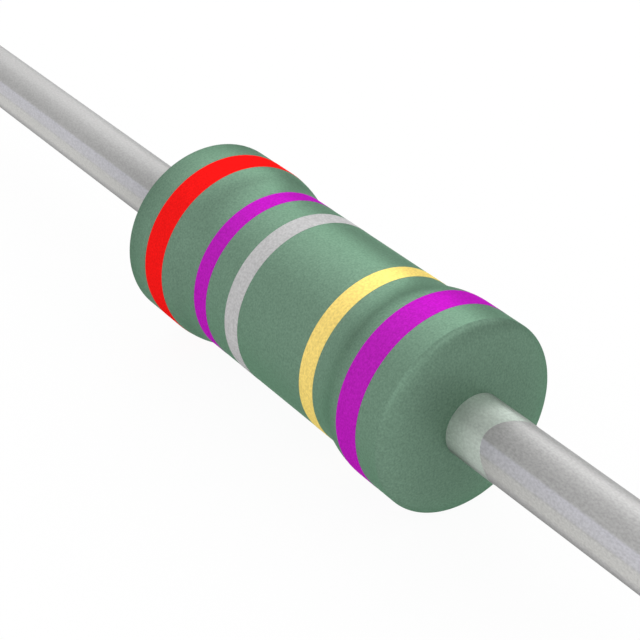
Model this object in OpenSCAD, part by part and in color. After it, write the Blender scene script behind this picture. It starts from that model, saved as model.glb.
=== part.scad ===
// Axial-lead film resistor: a ceramic rod with a trimmed metal film, pressed end caps,
// welded wire leads, a dog-bone coat of lacquer and five printed colour bands.
// Lengths are in millimetres. The origin is the middle of the body, on its axis.
// +X runs along the leads towards the end with the wide violet band, and +Z is up.

/* [Lacquer coat] */
// Length of the body from one end face to the other
body_l = 5.84; // [5:0.02:8]
// Diameter of the body over the end caps
bulge_d = 2.5; // [2.2:0.05:3.2]
// Depth of the waist below the bulges, on each side
waist_drop = 0.105; // [0.04:0.005:0.14]
// Thickness of the lacquer round the end caps
coat_over_cap = 0.08; // [0.06:0.005:0.12]
// Thickness of the lacquer on the flat of each end cap
coat_end = 0.12; // [0.1:0.01:0.2]
// Height of the shallow dome of each end face
dome_h = 0.197; // [0.1:0.001:0.25]
// Width of that dome, inwards from the rim
dome_w = 0.958; // [0.6:0.001:1]
// How far before the right cap's rim the right neck begins
right_neck_lap = 0.312; // [0.1:0.002:0.36]
// Length of the right neck, from bulge to waist
right_neck_l = 0.713; // [0.5:0.001:1.2]
// How far before the left cap's rim the left neck begins
left_neck_lap = 0.236; // [0.1:0.002:0.36]
// Length of the left neck, from bulge to waist
left_neck_l = 0.702; // [0.5:0.001:1.2]

/* [End caps] */
// Length of each drawn cap over its end plate
cap_l = 1.03; // [0.8:0.01:1.3]
// Thickness of the cap's sheet metal
cap_wall = 0.2; // [0.12:0.01:0.25]
// Outer radius of the corner between the cap's end plate and its wall
cap_corner_r = 0.26; // [0.25:0.01:0.4]
// Bevel inside the open rim, which leads the rod in
rim_bevel = 0.05; // [0.02:0.01:0.08]

/* [Rod and film] */
// Thickness of the resistive film
film_t = 0.02; // [0.01:0.005:0.04]
// Bevel at both ends of the ceramic rod
rod_bevel = 0.08; // [0.06:0.01:0.15]
// Number of turns of the groove that trims the film
trim_turns = 4; // [2:0.5:6]
// Width of that groove
trim_w = 0.12; // [0.06:0.01:0.2]
// Untrimmed film between each cap's rim and the groove
trim_margin = 0.25; // [0.15:0.01:0.6]

/* [Leads] */
// Diameter of the wire
lead_d = 0.8; // [0.5:0.01:0.9]
// Free length of each lead past the end face
lead_l = 10.08; // [5:0.02:40]
// How much wider than the wire its welded foot is, on each side
foot_flare = 0.18; // [0.08:0.01:0.25]
// Height of that foot over the cap
foot_h = 0.08; // [0.04:0.01:0.09]
// Radius of the edge at the cut end of each lead
tip_r = 0.06; // [0.02:0.01:0.15]

/* [Colour bands] */
// Thickness of the printed ink
ink_t = 0.015; // [0.01:0.005:0.03]
// Distance of the red band from the left end face
red_from_left = 0.597; // [0.3:0.001:0.8]
// Width of the red band
red_w = 0.411; // [0.2:0.001:0.5]
// Distance of the violet band from the left end face
violet_from_left = 1.638; // [1.4:0.001:1.8]
// Width of the violet band
violet_w = 0.285; // [0.15:0.001:0.4]
// Distance of the silver band from the left end face
silver_from_left = 2.363; // [2.25:0.001:2.5]
// Width of the silver band
silver_w = 0.289; // [0.15:0.001:0.4]
// Distance of the gold band from the right end face
gold_from_right = 1.565; // [1.4:0.001:1.7]
// Width of the gold band
gold_w = 0.277; // [0.15:0.001:0.35]
// Distance of the wide violet band from the right end face
wide_violet_from_right = 0.562; // [0.3:0.001:0.7]
// Width of the wide violet band
wide_violet_w = 0.389; // [0.3:0.001:0.6]

/* [Hidden] */
// Steps on each arc of an outline
arc_steps = 12;
// Steps on the dome of each end face
dome_steps = 24;
// Steps on each turn of the groove
turn_steps = 36;
// How far a cutting shape runs past what it cuts
over = 0.05;

bulge_r = bulge_d / 2;
waist_r = bulge_r - waist_drop;
cap_r = bulge_r - coat_over_cap;
film_r = cap_r - cap_wall;
rod_r = film_r - film_t;
lead_r = lead_d / 2;

// Places along X, measured outwards from the middle of the body
face_x = body_l / 2;
cap_face_x = face_x - coat_end;
cap_rim_x = cap_face_x - cap_l;
rod_end_x = cap_face_x - cap_wall;
film_end_x = rod_end_x - rod_bevel;
tip_x = face_x + lead_l;
right_neck_x = cap_rim_x + right_neck_lap;
left_neck_x = cap_rim_x + left_neck_lap;
groove_x = cap_rim_x - trim_margin - trim_w / 2;

// Outlines are points [radius, place along X]
// End face: a quarter ellipse from the flat round the lead out to the bulge, evenly spaced in slope
function dome(grow) = [
    for (i = [0 : dome_steps])
        let (slope = 90 * i / dome_steps, turn = i < dome_steps ? atan(tan(slope) * dome_w / dome_h) : 90)
            [bulge_r + grow - dome_w * (1 - sin(turn)), face_x + grow - dome_h * (1 - cos(turn))]
];

// Neck: two equal arcs, one convex and one concave, that meet halfway between bulge and waist
function neck(start_x, run, grow) =
    let (arc_r = (run * run + waist_drop * waist_drop) / (4 * waist_drop), sweep = asin(run / 2 / arc_r))
        concat(
            [for (i = [0 : arc_steps]) let (a = sweep * i / arc_steps)
                [bulge_r + grow - arc_r * (1 - cos(a)), start_x - arc_r * sin(a)]],
            [for (i = [arc_steps - 1 : -1 : 0]) let (a = sweep * i / arc_steps)
                [waist_r + grow + arc_r * (1 - cos(a)), start_x - run + arc_r * sin(a)]]
        );

// One half of the body's outline, from the axis at the end face to the middle of the waist
function half_outline(neck_x, run, grow) =
    concat([[0, face_x + grow]], dome(grow), neck(neck_x, run, grow));

function mirrored(points) = [for (i = [len(points) - 1 : -1 : 0]) [points[i][0], -points[i][1]]];

// Cut end of a lead: a flat with a rounded edge
function tip() = [
    for (i = [0 : arc_steps]) let (a = 90 * i / arc_steps)
        [lead_r - tip_r * (1 - sin(a)), tip_x - tip_r * (1 - cos(a))]
];

// Foot of a lead: a rounded bead of metal that the weld pressed out onto the cap
function foot() = [
    for (i = [0 : arc_steps]) let (a = 90 * i / arc_steps)
        [lead_r + foot_flare * sin(a), cap_face_x + foot_h * cos(a)]
];

// Corner of a cap: a quarter circle of radius r that ends at the end plate's level x
function corner(wall_r, x, r) = [
    for (i = [0 : arc_steps]) let (a = 90 * i / arc_steps) [wall_r - r * (1 - cos(a)), x - r * (1 - sin(a))]
];

// Turns an outline about the X axis
module turned() rotate([0, 90, 0]) rotate_extrude($fn = 96) children();

// The whole body's outline, grown outwards by the thickness of ink
module body_outline(grow = 0) {
    polygon(concat(
        half_outline(right_neck_x, right_neck_l, grow),
        mirrored(half_outline(left_neck_x, left_neck_l, grow))
    ));
}

module cap_outline() {
    polygon(concat(
        [[0, cap_face_x], [0, cap_rim_x], [cap_r, cap_rim_x]],
        corner(cap_r, cap_face_x, cap_corner_r)
    ));
}

module lead_outline() {
    polygon(concat([[0, tip_x]], tip(), foot(), [[0, cap_face_x]]));
}

module ceramic_rod() {
    color("ivory")
        turned()
            polygon([
                [0, rod_end_x], [rod_r - rod_bevel, rod_end_x], [rod_r, film_end_x],
                [rod_r, -film_end_x], [rod_r - rod_bevel, -rod_end_x], [0, -rod_end_x]
            ]);
}

// Helical cutter with a rectangular section, along the stretch of film between the caps
module trim_groove() {
    steps = round(trim_turns * turn_steps);
    section = [
        [rod_r - over, -trim_w / 2], [film_r + over, -trim_w / 2],
        [film_r + over, trim_w / 2], [rod_r - over, trim_w / 2]
    ];
    points = [
        for (i = [0 : steps], p = section)
            let (a = 360 * trim_turns * i / steps, x = groove_x * (2 * i / steps - 1))
                [x + p[1], p[0] * cos(a), p[0] * sin(a)]
    ];
    sides = [
        for (i = [0 : steps - 1], k = [0 : 3])
            let (a = 4 * i + k, b = 4 * i + (k + 1) % 4)
                each [[a, b, b + 4], [a, b + 4, a + 4]]
    ];
    polyhedron(points, concat([[3, 2, 1, 0]], sides, [[for (k = [0 : 3]) 4 * steps + k]]));
}

module resistive_film() {
    color("dimgray")
        difference() {
            turned()
                translate([rod_r, -film_end_x]) square([film_t, 2 * film_end_x]);
            trim_groove();
        }
}

module end_cap() {
    color("silver")
        turned()
            difference() {
                cap_outline();
                polygon([
                    [0, cap_rim_x - over], [film_r + rim_bevel + over, cap_rim_x - over],
                    [film_r, cap_rim_x + rim_bevel], [film_r, film_end_x],
                    [film_r - cap_corner_r + cap_wall, rod_end_x], [0, rod_end_x]
                ]);
            }
}

module right_end_cap() end_cap();

module left_end_cap() mirror([1, 0, 0]) end_cap();

module lead() {
    color("lightgray")
        turned() lead_outline();
}

module right_lead() lead();

module left_lead() mirror([1, 0, 0]) lead();

// The lacquer fills the space between the body's outline and the pieces inside it
module lacquer_coat() {
    color([0.42, 0.52, 0.45])
        turned()
            difference() {
                body_outline();
                translate([0, -film_end_x]) square([film_r, 2 * film_end_x]);
                for (side = [0, 1]) {
                    mirror([0, side]) cap_outline();
                    mirror([0, side]) lead_outline();
                }
            }
}

// A ring of ink on the body's outline, from place x on, with width w
module band(x, w) {
    turned()
        intersection() {
            difference() {
                body_outline(ink_t);
                body_outline();
            }
            translate([0, x]) square([bulge_d, w]);
        }
}

module red_band() color([0.97, 0.1, 0.09]) band(-face_x + red_from_left, red_w);

module violet_band() color([0.72, 0.13, 0.74]) band(-face_x + violet_from_left, violet_w);

module silver_band() color([0.74, 0.74, 0.73]) band(-face_x + silver_from_left, silver_w);

module gold_band() color([0.93, 0.84, 0.53]) band(face_x - gold_from_right - gold_w, gold_w);

module wide_violet_band() {
    color([0.72, 0.13, 0.74]) band(face_x - wide_violet_from_right - wide_violet_w, wide_violet_w);
}

ceramic_rod();
resistive_film();
left_end_cap();
right_end_cap();
left_lead();
right_lead();
lacquer_coat();
red_band();
violet_band();
silver_band();
gold_band();
wide_violet_band();
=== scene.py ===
import math

import bpy
from mathutils import Matrix, Vector


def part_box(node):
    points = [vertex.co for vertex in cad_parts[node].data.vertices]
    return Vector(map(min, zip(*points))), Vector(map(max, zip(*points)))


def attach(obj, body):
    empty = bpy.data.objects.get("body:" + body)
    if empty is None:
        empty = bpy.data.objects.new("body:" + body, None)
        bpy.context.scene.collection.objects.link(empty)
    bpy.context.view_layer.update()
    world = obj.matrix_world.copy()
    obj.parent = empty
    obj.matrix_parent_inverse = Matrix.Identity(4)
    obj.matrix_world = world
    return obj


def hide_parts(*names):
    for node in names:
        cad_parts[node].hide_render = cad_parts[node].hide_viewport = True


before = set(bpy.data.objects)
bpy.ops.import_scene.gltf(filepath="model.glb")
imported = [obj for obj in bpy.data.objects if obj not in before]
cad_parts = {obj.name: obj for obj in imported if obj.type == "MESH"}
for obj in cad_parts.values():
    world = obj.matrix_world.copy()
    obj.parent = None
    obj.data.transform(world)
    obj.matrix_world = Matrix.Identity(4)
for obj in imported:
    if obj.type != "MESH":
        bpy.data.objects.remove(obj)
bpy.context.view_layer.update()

MM = 0.001
BODY = "root"

# Sizes are in millimetres. Lacquered body: its outline is turned about the X axis
BODY_L = 5.84
BULGE_R = 1.25
WAIST_R = 1.145
DOME_H = 0.197
DOME_W = 0.958
RIGHT_NECK_X = 2.082
RIGHT_NECK_L = 0.713
LEFT_NECK_X = 2.006
LEFT_NECK_L = 0.702

# Printed ink stands this little above the lacquer, with edges drawn in by as much
INK_T = 0.002
INK_STEP = 0.02

# Leads: a tinned skin round a copper core
LEAD_R = 0.4
TIP_R = 0.06
CORE_R = 0.325

# A corner of the mesh counts as on the cut end, or as in the core, within this distance
CLOSE = 0.001

# Collar on each lead, a painted reflection of the lacquered end face in the wire; its edge is nearest the
# body at this azimuth and opposite it
REFLECTION_COLLAR_L = 0.525
REFLECTION_COLLAR_WAVE = 0.1
REFLECTION_COLLAR_NEAREST = -45
REFLECTION_COLLAR_T = 0.004

# Fineness of the turned meshes, and the angle in degrees past which their edges are sharp
SEGMENTS = 192
DOME_STEPS = 40
NECK_STEPS = 24
TIP_STEPS = 8
SHARP_ANGLE = 40

# Streaks round a lead, part drawing marks and mostly painted reflections and painted shade: azimuth in
# degrees (0 is the top, -90 the front), tone, and the blue's own factor
WIRE_STREAKS_AND_PAINTED_LIGHT = (
    (-160, 0.8, 1), (-122, 0.34, 1), (-108, 0.8, 1), (-97, 1.1, 0.97), (-79, 1.08, 0.98), (-77, 0.95, 1),
    (-74, 1.02, 1.06), (-55, 1.01, 1.09), (-51, 0.78, 1), (-38, 0.74, 1), (-20, 0.72, 1), (-5, 0.77, 1),
    (5, 0.85, 1), (18, 0.98, 1), (27, 0.84, 1), (38, 0.66, 1), (120, 0.9, 1),
)

# The same round the painted reflection collar on a lead, where they are softer
COLLAR_REFLECTION_TONES = (
    (-160, 0.8, 1), (-122, 0.4, 1), (-108, 0.87, 1), (-92, 1.03, 1), (-70, 0.95, 1), (-54, 0.84, 1),
    (-46, 0.76, 1), (-30, 0.84, 1), (-10, 0.98, 1), (10, 1.06, 1), (24, 0.96, 1), (38, 0.66, 1),
    (120, 0.9, 1),
)

# Painted shade along a lead, darkest next to the body that shades it: distance from the body, tone
WIRE_PAINTED_SHADE = ((0, 0.8), (0.6, 0.8), (1.2, 0.87), (2, 0.94), (3, 1))

# Painted shade and light on the lacquer along the body: darker on the slopes of the necks, at the ends and in
# a thin ring at the near rim, a little lighter just inside that rim: place along X, tone
LACQUER_PAINTED_SHADE = (
    (-2.7, 0.84), (-2.4, 1), (-2, 1), (-1.62, 0.9), (-1.3, 1), (1.5, 1), (1.75, 0.84), (1.97, 1),
    (2.72, 1), (2.75, 0.95), (2.78, 1), (2.83, 1.02), (2.87, 0.96), (2.9, 0.91),
)

# Roughness of the lacquer and the inks
SATIN = 0.42

# Wire: roughness where it is bare, and the metallic share and specular level, under thin lacquer too
WIRE_ROUGHNESS = 0.45
WIRE_METALLIC = 0.4
WIRE_SPECULAR = 0.5

# Tint of the gloss at the rims, as a multiple of the surface's own colour
RIM_TINT = 2.5

# Grain of a surface: features to a millimetre, share by which its colour varies, and height
GRAIN_PER_MM = 40
GRAIN_SPREAD = 0.15
GRAIN_DEPTH = 0.0004

# Coarser grain of the silver and gold inks
FLAKES_PER_MM = 32
FLAKES_SPREAD = 0.13

# Speckle of the wire and the fine lines that drawing leaves on it, both longer along the wire
SPECKLE_DARK = 0.78
SPECKLE_STRETCH = 1.5
DRAW_LINES_PER_MM = 20
DRAW_LINES_STRETCH = 12

# Values of a noise between which a ramp goes from its first colour to its last
NOISE_LOW = 0.3
NOISE_HIGH = 0.7

# Camera: the photograph's angle, distance and field of view, and how near and far it sees
CAMERA_AZIMUTH = 55.196
CAMERA_ELEVATION = 31.068
CAMERA_DISTANCE = 22.633
CAMERA_AIM = (-0.023, -0.078, -0.043)
CAMERA_FOV = 20.0
SENSOR = 36.0
CLIP_NEAR = 1
CLIP_FAR = 2000

# Soft boxes: azimuth (0 is in front, at -Y, and 90 is at +X), elevation, half angle in degrees, strength
LIGHTS = {
    "key": (-127, 33, 25, 0.95),
    "side": (-106, 43, 30, 0.7),
    "rear": (-140, 24, 15, 2.0),
    "front": (22, 14, 40, 0.68),
    "back": (140, 46, 28, 0.75),
    "right": (95, 32, 25, 0.4),
}
LIGHT_DISTANCE = 150

# Grey of the room that lights the object, and its strength
ROOM_GREY = 0.8
ROOM = 0.72

# Dark screens behind the object that only glossy surfaces see, from one azimuth round to another
SCREEN_DISTANCE = 140
SCREEN_TOP = 20
SCREEN_FROM = 100
SCREEN_TO = 285
SCREEN_STEPS = 48
SCREEN_GREY = 0.03

# Floor just under the body, and the share of plain white in it where the background is seen
FLOOR_HALF = 600
FLOOR_GAP = 0.015
FLOOR_Z = -(BULGE_R + FLOOR_GAP)
FLOOR_GREY = 0.95
FLOOR_WHITE = 0.95


# Outlines: points (radius, place along X), in millimetres, that run towards -X on the outside

def dome():
    """Quarter ellipse of an end face, from the flat round the lead to the bulge, in even steps of slope."""
    points = []
    for i in range(DOME_STEPS + 1):
        slope = 0.5 * math.pi * i / DOME_STEPS
        turn = math.atan(math.tan(slope) * DOME_W / DOME_H) if i < DOME_STEPS else 0.5 * math.pi
        r = BULGE_R - DOME_W * (1 - math.sin(turn))
        points.append((r, BODY_L / 2 - DOME_H * (1 - math.cos(turn))))
    return points


def neck(start_x, run):
    """Two equal arcs, one convex and one concave, that meet halfway between bulge and waist."""
    end_x = start_x - run
    drop = BULGE_R - WAIST_R
    arc_r = (run * run + drop * drop) / (4 * drop)
    sweep = math.asin(run / 2 / arc_r)
    angles = [sweep * i / NECK_STEPS for i in range(NECK_STEPS + 1)]
    bulge_side = [(BULGE_R - arc_r * (1 - math.cos(a)), start_x - arc_r * math.sin(a)) for a in angles]
    waist_side = [(WAIST_R + arc_r * (1 - math.cos(a)), end_x + arc_r * math.sin(a)) for a in angles[-2::-1]]
    return bulge_side + waist_side


def mirrored(points):
    """The same outline on the other side of X = 0, in the same direction."""
    return [(r, -x) for r, x in reversed(points)]


def body_outline():
    """The lacquer's outer skin, from the right end face to the left one."""
    right = [p for p in dome() if p[0] > LEAD_R] + neck(RIGHT_NECK_X, RIGHT_NECK_L)
    left = [p for p in dome() if p[0] > LEAD_R] + neck(LEFT_NECK_X, LEFT_NECK_L)
    return [(LEAD_R, BODY_L / 2)] + right + mirrored(left) + [(LEAD_R, -BODY_L / 2)]


def radius_at(outline, x):
    """Radius of the outer skin at a place along X."""
    for (r0, x0), (r1, x1) in zip(outline, outline[1:]):
        if x1 <= x <= x0 and x0 > x1:
            return r0 + (r1 - r0) * (x0 - x) / (x0 - x1)
    raise ValueError(f"{x} is past the body's ends")


# Meshes

def turned(name, outline, shift=None):
    """A closed mesh, turned about X from a closed outline, or from an open one with both ends on the axis.

    shift(x, angle) moves a point along X, where the angle is 0 at the top and grows towards +Y."""
    on_axis = outline[0][0] == 0 and outline[-1][0] == 0
    verts, rings = [], []
    for r, x in outline:
        if r == 0:
            rings.append([len(verts)] * SEGMENTS)
            verts.append((x * MM, 0.0, 0.0))
            continue
        rings.append(list(range(len(verts), len(verts) + SEGMENTS)))
        for k in range(SEGMENTS):
            a = 2 * math.pi * k / SEGMENTS
            along = x + shift(x, a) if shift else x
            verts.append((along * MM, r * math.sin(a) * MM, r * math.cos(a) * MM))
    faces = []
    for i in range(len(rings) - 1 if on_axis else len(rings)):
        here, after = rings[i], rings[(i + 1) % len(rings)]
        for k in range(SEGMENTS):
            n = (k + 1) % SEGMENTS
            corners = list(dict.fromkeys((here[k], here[n], after[n], after[k])))
            if len(corners) > 2:
                faces.append(corners)
    mesh = bpy.data.meshes.new(name)
    mesh.from_pydata(verts, [], faces)
    mesh.validate()
    mesh.shade_smooth()
    mesh.set_sharp_from_angle(angle=math.radians(SHARP_ANGLE))
    piece = bpy.data.objects.new(name, mesh)
    bpy.context.scene.collection.objects.link(piece)
    return piece


def dress(piece, node, slot, *materials):
    """Puts a piece in the place of a CAD node, with its materials."""
    for material in materials:
        piece.data.materials.append(material)
    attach(piece, BODY)
    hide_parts(node)
    return piece


# Materials

def srgb(r, g, b):
    """A colour as it shows on screen, 0 to 255, turned into the linear values that a shader takes."""
    def linear(c):
        c = c / 255
        return c / 12.92 if c <= 0.04045 else ((c + 0.055) / 1.055) ** 2.4
    return (linear(r), linear(g), linear(b), 1.0)


def scaled(colour, factor):
    """A lighter or darker colour, up to full strength in each channel."""
    return tuple(min(1.0, c * factor) for c in colour[:3]) + (1.0,)


def grey(value):
    return (value, value, value, 1.0)


def blank_material(name):
    """A material with its output node alone."""
    material = bpy.data.materials.new(name)
    material.use_nodes = True
    tree = material.node_tree
    tree.nodes.clear()
    return material, tree, tree.nodes.new("ShaderNodeOutputMaterial")


def new_material(name):
    """A material with one shader for all of its surface."""
    material, tree, out = blank_material(name)
    shader = tree.nodes.new("ShaderNodeBsdfPrincipled")
    shader.distribution = "GGX"
    tree.links.new(shader.outputs["BSDF"], out.inputs["Surface"])
    return material, tree, shader


def noise(tree, per_mm, stretch):
    """Noise with so many features to a millimetre, drawn out along X by a stretch."""
    place = tree.nodes.new("ShaderNodeTexCoord")
    size = tree.nodes.new("ShaderNodeMapping")
    size.inputs["Scale"].default_value = (per_mm / MM / stretch, per_mm / MM, per_mm / MM)
    texture = tree.nodes.new("ShaderNodeTexNoise")
    texture.inputs["Scale"].default_value = 1.0
    tree.links.new(place.outputs["Object"], size.inputs["Vector"])
    tree.links.new(size.outputs["Vector"], texture.inputs["Vector"])
    return texture.outputs["Fac"]


def ramp(tree, value, *stops):
    """A colour by value, through stops of (place, colour)."""
    node = tree.nodes.new("ShaderNodeValToRGB")
    elements = node.color_ramp.elements
    while len(elements) < len(stops):
        elements.new(1.0)
    for element, (place, colour) in zip(elements, stops):
        element.position = place
        element.color = colour
    tree.links.new(value, node.inputs["Fac"])
    return node.outputs["Color"]


def bump(tree, shader, height):
    """Fine unevenness of the surface, by a height from 0 to 1."""
    node = tree.nodes.new("ShaderNodeBump")
    node.inputs["Strength"].default_value = 1.0
    node.inputs["Distance"].default_value = GRAIN_DEPTH * MM
    tree.links.new(height, node.inputs["Height"])
    tree.links.new(node.outputs["Normal"], shader.inputs["Normal"])


def set_gloss(shader, colour, roughness, metallic, specular):
    """Even values of a surface, whose gloss keeps a part of its own colour at the rims."""
    shader.inputs["Roughness"].default_value = roughness
    shader.inputs["Metallic"].default_value = metallic
    shader.inputs["Specular IOR Level"].default_value = specular
    shader.inputs["Specular Tint"].default_value = scaled(colour, RIM_TINT)


def math_node(tree, operation, *values):
    """Result of an operation on links or numbers."""
    node = tree.nodes.new("ShaderNodeMath")
    node.operation = operation
    for socket, value in zip(node.inputs, values):
        if isinstance(value, (int, float)):
            socket.default_value = value
        else:
            tree.links.new(value, socket)
    return node.outputs[0]


def multiplied(tree, first, second):
    """Product of two colours."""
    node = tree.nodes.new("ShaderNodeMix")
    node.data_type = "RGBA"
    node.blend_type = "MULTIPLY"
    node.inputs["Factor"].default_value = 1.0
    tree.links.new(first, node.inputs["A"])
    tree.links.new(second, node.inputs["B"])
    return node.outputs["Result"]


def object_axes(tree):
    """The three coordinates of a place on the object."""
    place = tree.nodes.new("ShaderNodeTexCoord")
    axes = tree.nodes.new("ShaderNodeSeparateXYZ")
    tree.links.new(place.outputs["Object"], axes.inputs["Vector"])
    return axes.outputs


def toned(tree, value, shades):
    """Painted shade: grey tones by a coordinate, through stops of (millimetres, tone)."""
    first = shades[0][0]
    run = shades[-1][0] - first
    share = math_node(tree, "MULTIPLY_ADD", value, 1 / (run * MM), -first / run)
    return ramp(tree, share, *[((x - first) / run, grey(tone)) for x, tone in shades])


def grained(name, colour, roughness, metallic=0.0, specular=0.5, per_mm=GRAIN_PER_MM, spread=GRAIN_SPREAD,
            stretch=1.0, shades=None):
    """A surface whose colour and height vary a little with a fine grain, and which may carry painted shade
    along X.
    """
    material, tree, shader = new_material(name)
    grain = noise(tree, per_mm, stretch)
    dark, light = scaled(colour, 1 - spread), scaled(colour, 1 + spread)
    tint = ramp(tree, grain, (NOISE_LOW, dark), (NOISE_HIGH, light))
    if shades:
        # Painted shade along X, where it is given
        tint = multiplied(tree, tint, toned(tree, object_axes(tree)["X"], shades))
    tree.links.new(tint, shader.inputs["Base Color"])
    set_gloss(shader, colour, roughness, metallic, specular)
    bump(tree, shader, grain)
    return material


def drawn_wire(name, colour, roughness, streaks_and_painted_light):
    """Drawn wire, streaked lengthwise with painted reflections and painted shade, and a little darker near
    the body with painted shade where the body shades it.
    """
    material, tree, shader = new_material(name)
    axes = object_axes(tree)
    azimuth = math_node(tree, "ARCTAN2", axes["Y"], axes["Z"])
    round_share = math_node(tree, "MULTIPLY_ADD", azimuth, 0.5 / math.pi, 0.5)
    stops = []
    for angle, tone, blue in streaks_and_painted_light:
        r, g, b = scaled(colour, tone)[:3]
        stops.append((0.5 + angle / 360, (r, g, b * blue, 1)))
    # Tones round the wire: mostly painted reflections and painted shade, lavender where the blue is raised
    streak_and_painted_light = ramp(tree, round_share, *stops)
    past_body = math_node(tree, "SUBTRACT", math_node(tree, "ABSOLUTE", axes["X"]), BODY_L / 2 * MM)
    # Painted shade: darker near the body, where the body shades the wire
    shade = toned(tree, past_body, WIRE_PAINTED_SHADE)
    fleck = noise(tree, GRAIN_PER_MM, SPECKLE_STRETCH)
    speckle = ramp(tree, fleck, (NOISE_LOW, grey(SPECKLE_DARK)), (NOISE_HIGH, grey(1)))
    tone = multiplied(tree, multiplied(tree, streak_and_painted_light, shade), speckle)
    tree.links.new(tone, shader.inputs["Base Color"])
    set_gloss(shader, colour, roughness, WIRE_METALLIC, WIRE_SPECULAR)
    bump(tree, shader, noise(tree, DRAW_LINES_PER_MM, DRAW_LINES_STRETCH))
    return material


def coating(name, colour, metallic, **grain):
    """Lacquer or printed ink, whose gloss comes from its metallic share alone and so keeps its colour."""
    return grained(name, colour, SATIN, metallic, 0.0, **grain)


def make_materials():
    """All finishes of the object, where a colour that isn't given as srgb is linear."""
    flakes = {"per_mm": FLAKES_PER_MM, "spread": FLAKES_SPREAD}
    return {
        # The lacquer carries painted shade and light along the body
        "lacquer": coating("green_lacquer", srgb(109, 138, 119), 0.5, shades=LACQUER_PAINTED_SHADE),
        "red": coating("red_ink", (0.965, 0.0118, 0.0112, 1), 0.15),
        "violet": coating("violet_ink", (0.465, 0.017, 0.465, 1), 0.28),
        "silver": coating("silver_ink", (0.512, 0.507, 0.51, 1), 0.1, **flakes),
        "gold": coating("gold_ink", (0.9, 0.67, 0.196, 1), 0.38, **flakes),
        # The wire's streaks are mostly painted reflections and painted shade
        "wire": drawn_wire("tinned_wire", (0.565, 0.56, 0.555, 1), WIRE_ROUGHNESS, WIRE_STREAKS_AND_PAINTED_LIGHT),
        # Pale green collar: a painted reflection of the lacquered end face in the wire
        "face_reflection": drawn_wire("painted_face_reflection", (0.59, 0.675, 0.602, 1), SATIN, COLLAR_REFLECTION_TONES),
        "core": grained("copper_core", (0.75, 0.36, 0.22, 1), 0.35, metallic=1.0, per_mm=12, spread=0.04),
        "ceramic": grained("ceramic", srgb(235, 232, 224), 0.6),
        "film": grained("metal_film", srgb(150, 148, 146), 0.4, metallic=1.0),
        "cap": grained("cap_steel", srgb(200, 200, 198), 0.35, metallic=1.0, per_mm=8, stretch=0.2),
    }


# Pieces

def make_coat(materials, outline):
    """The lacquer: its outer skin, and the inner walls that lie on the caps, the film and the leads."""
    cap_low, cap_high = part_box("right_end_cap")
    film_low, film_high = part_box("resistive_film")
    cap_r, film_r = cap_high.y / MM, film_high.y / MM
    rim_x, cap_face_x = cap_low.x / MM, cap_high.x / MM
    inner = [(LEAD_R, -cap_face_x), (cap_r, -cap_face_x), (cap_r, -rim_x), (film_r, -rim_x)]
    piece = turned("lacquer_coat_skin", outline + inner + mirrored(inner))
    return dress(piece, "lacquer_coat", "green_lacquer", materials["lacquer"])


def make_reflection_collar(side, materials):
    """A very thin collar on the foot of a lead, coloured as a painted reflection of the lacquered end face,
    with an edge that runs on at two sides.
    """
    def wave(x, angle):
        at_edge = abs(x) > BODY_L / 2 + REFLECTION_COLLAR_L / 2
        turn = 2 * (angle - math.radians(REFLECTION_COLLAR_NEAREST))
        return side * REFLECTION_COLLAR_WAVE * (1 - math.cos(turn)) if at_edge else 0.0
    foot_x = BODY_L / 2 - REFLECTION_COLLAR_T
    edge_x = BODY_L / 2 + REFLECTION_COLLAR_L
    outer_r = LEAD_R + REFLECTION_COLLAR_T
    outline = [(LEAD_R, edge_x), (outer_r, edge_x - 2 * REFLECTION_COLLAR_T), (outer_r, foot_x), (LEAD_R, foot_x)]
    # The collar stands for the reflection of the lacquered end face in the wire: painted reflection
    name = "right_reflection_collar" if side > 0 else "left_reflection_collar"
    piece = turned(name, outline if side > 0 else mirrored(outline), wave)
    return dress(piece, "lacquer_coat", "green_lacquer", materials["face_reflection"])


def make_band(node, slot, material, outline):
    """A thin ring of ink that follows the lacquer between the ends of its CAD node."""
    low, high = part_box(node)
    x0, x1 = low.x / MM, high.x / MM
    steps = round((x1 - x0) / INK_STEP)
    places = [x1 + (x0 - x1) * i / steps for i in range(steps + 1)]
    skin = [(radius_at(outline, x), x) for x in places]
    top = [(r + INK_T, x) for r, x in skin]
    top[0] = (top[0][0], x1 - INK_T)
    top[-1] = (top[-1][0], x0 + INK_T)
    piece = turned(node + "_ink", top + [(r - INK_T, x) for r, x in reversed(skin)])
    return dress(piece, node, slot, material)


def make_lead(node, side, materials):
    """A round wire from its welded foot to its cut end, where the core shows."""
    low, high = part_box(node)
    near, tip = sorted((abs(low.x) / MM, abs(high.x) / MM))
    edge = [math.radians(90 * i / TIP_STEPS) for i in range(TIP_STEPS + 1)]
    rounded = [(LEAD_R - TIP_R * (1 - math.sin(a)), tip - TIP_R * (1 - math.cos(a))) for a in edge]
    outline = [(0, tip), (CORE_R, tip)] + rounded + [(LEAD_R, near), (0, near)]
    if side < 0:
        outline = mirrored(outline)
    piece = turned(node + "_wire", outline)
    for face in piece.data.polygons:
        corners = [piece.data.vertices[v].co for v in face.vertices]
        on_end = min(abs(c.x) for c in corners) > (tip - CLOSE) * MM
        in_core = max(math.hypot(c.y, c.z) for c in corners) < (CORE_R + CLOSE) * MM
        face.material_index = 1 if on_end and in_core else 0
    return dress(piece, node, "tinned_wire", materials["wire"], materials["core"])


def dress_inner_nodes(materials):
    """The pieces inside the lacquer keep their CAD shapes."""
    for node, key in (("ceramic_rod", "ceramic"), ("resistive_film", "film"),
                      ("left_end_cap", "cap"), ("right_end_cap", "cap")):
        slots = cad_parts[node].data.materials
        slots.clear()
        slots.append(materials[key])


# Stage

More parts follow.
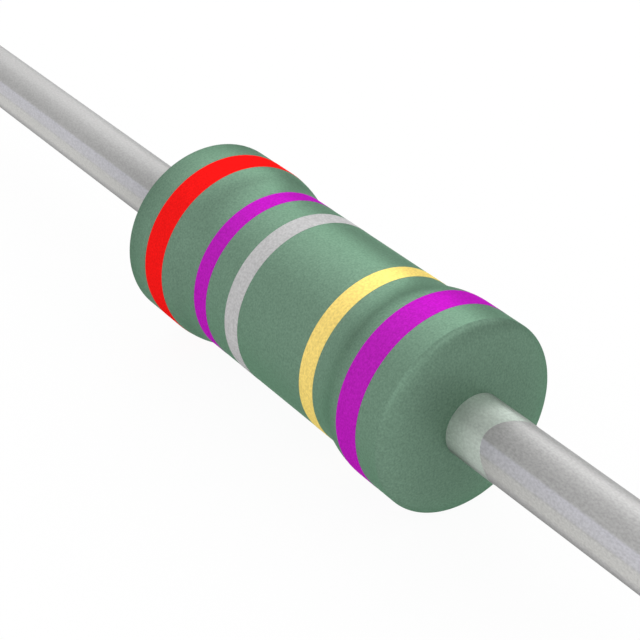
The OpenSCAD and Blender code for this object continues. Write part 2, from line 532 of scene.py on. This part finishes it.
def direction(azimuth, elevation):
    """Towards this azimuth and elevation in degrees, from the origin."""
    a, e = math.radians(azimuth), math.radians(elevation)
    return Vector((math.sin(a) * math.cos(e), -math.cos(a) * math.cos(e), math.sin(e)))


def shows_background(tree):
    """1 for what sees the background as white: the camera, and rays that metal, gloss or glass send on."""
    path = tree.nodes.new("ShaderNodeLightPath")
    value = path.outputs["Is Camera Ray"]
    for name in ("Is Glossy Ray", "Is Transmission Ray"):
        value = math_node(tree, "MAXIMUM", value, path.outputs[name])
    return value


def stage_mesh(name, verts, faces, material):
    """A piece of the set, which isn't part of the object."""
    mesh = bpy.data.meshes.new(name)
    mesh.from_pydata(verts, [], faces)
    mesh.materials.append(material)
    obj = bpy.data.objects.new(name, mesh)
    bpy.context.scene.collection.objects.link(obj)
    return obj


def make_floor():
    """A wide white floor just under the body, which keeps a little of the object's shadow."""
    material, tree, out = blank_material("floor_white")
    mix = tree.nodes.new("ShaderNodeMixShader")
    diffuse = tree.nodes.new("ShaderNodeBsdfDiffuse")
    white = tree.nodes.new("ShaderNodeEmission")
    diffuse.inputs["Color"].default_value = grey(FLOOR_GREY)
    share = math_node(tree, "MULTIPLY", shows_background(tree), FLOOR_WHITE)
    tree.links.new(share, mix.inputs["Fac"])
    tree.links.new(diffuse.outputs["BSDF"], mix.inputs[1])
    tree.links.new(white.outputs["Emission"], mix.inputs[2])
    tree.links.new(mix.outputs["Shader"], out.inputs["Surface"])
    half, z = FLOOR_HALF * MM, FLOOR_Z * MM
    corners = [(-half, -half, z), (half, -half, z), (half, half, z), (-half, half, z)]
    stage_mesh("floor", corners, [(0, 1, 2, 3)], material)


def make_screens():
    """Dark screens round the back of the set: gloss sees them at the horizon, and nothing else does."""
    material = bpy.data.materials.new("screen_black")
    material.use_nodes = True
    material.node_tree.nodes["Principled BSDF"].inputs["Base Color"].default_value = grey(SCREEN_GREY)
    low = FLOOR_Z * MM
    high = SCREEN_DISTANCE * math.tan(math.radians(SCREEN_TOP)) * MM
    verts = []
    for i in range(SCREEN_STEPS + 1):
        foot = direction(SCREEN_FROM + (SCREEN_TO - SCREEN_FROM) * i / SCREEN_STEPS, 0) * SCREEN_DISTANCE * MM
        verts += [(foot.x, foot.y, low), (foot.x, foot.y, high)]
    faces = [(2 * i, 2 * i + 2, 2 * i + 3, 2 * i + 1) for i in range(SCREEN_STEPS)]
    screen = stage_mesh("screens", verts, faces, material)
    screen.visible_camera = False
    screen.visible_diffuse = False
    screen.visible_transmission = False
    screen.visible_shadow = False


def make_world():
    """White for the camera and for gloss, and a plain room that lights the object."""
    world = bpy.data.worlds.new("studio")
    bpy.context.scene.world = world
    world.use_nodes = True
    tree = world.node_tree
    tree.nodes.clear()
    out = tree.nodes.new("ShaderNodeOutputWorld")
    room = tree.nodes.new("ShaderNodeBackground")
    white = tree.nodes.new("ShaderNodeBackground")
    mix = tree.nodes.new("ShaderNodeMixShader")
    room.inputs["Color"].default_value = grey(ROOM_GREY)
    room.inputs["Strength"].default_value = ROOM
    white.inputs["Color"].default_value = grey(1)
    tree.links.new(shows_background(tree), mix.inputs["Fac"])
    tree.links.new(room.outputs["Background"], mix.inputs[1])
    tree.links.new(white.outputs["Background"], mix.inputs[2])
    tree.links.new(mix.outputs["Shader"], out.inputs["Surface"])


def make_light(name, azimuth, elevation, half_angle, strength):
    """A round soft box that faces the origin and adds so much to the white that surrounds it."""
    data = bpy.data.lights.new(name, "AREA")
    data.shape = "DISK"
    radius = LIGHT_DISTANCE * math.tan(math.radians(half_angle)) * MM
    data.size = 2 * radius
    data.energy = strength * math.pi * math.pi * radius * radius
    light = bpy.data.objects.new(name, data)
    bpy.context.scene.collection.objects.link(light)
    back = direction(azimuth, elevation)
    light.location = back * LIGHT_DISTANCE * MM
    light.rotation_mode = "QUATERNION"
    light.rotation_quaternion = back.to_track_quat("Z", "Y")
    light.visible_camera = False


def make_camera():
    """The photograph's camera, level from side to side."""
    data = bpy.data.cameras.new("camera")
    camera = bpy.data.objects.new("camera", data)
    bpy.context.scene.collection.objects.link(camera)
    back = direction(CAMERA_AZIMUTH, CAMERA_ELEVATION)
    right = direction(CAMERA_AZIMUTH + 90, 0)
    turn = Matrix((right, back.cross(right), back)).transposed()
    camera.matrix_world = turn.to_4x4()
    camera.location = (Vector(CAMERA_AIM) + back * CAMERA_DISTANCE) * MM
    data.sensor_width = SENSOR
    data.lens = SENSOR / 2 / math.tan(math.radians(CAMERA_FOV) / 2)
    data.clip_start = CLIP_NEAR * MM
    data.clip_end = CLIP_FAR * MM
    bpy.context.scene.camera = camera


def main():
    bpy.context.scene.view_settings.view_transform = "Standard"
    make_camera()
    make_world()
    make_floor()
    make_screens()
    for name, setting in LIGHTS.items():
        make_light(name, *setting)
    materials = make_materials()
    outline = body_outline()
    make_coat(materials, outline)
    for node, slot, key in (
        ("red_band", "red_ink", "red"), ("violet_band", "violet_ink", "violet"),
        ("silver_band", "silver_ink", "silver"), ("gold_band", "gold_ink", "gold"),
        ("wide_violet_band", "violet_ink", "violet"),
    ):
        make_band(node, slot, materials[key], outline)
    for node, side in (("left_lead", -1), ("right_lead", 1)):
        make_lead(node, side, materials)
        make_reflection_collar(side, materials)
    dress_inner_nodes(materials)


main()
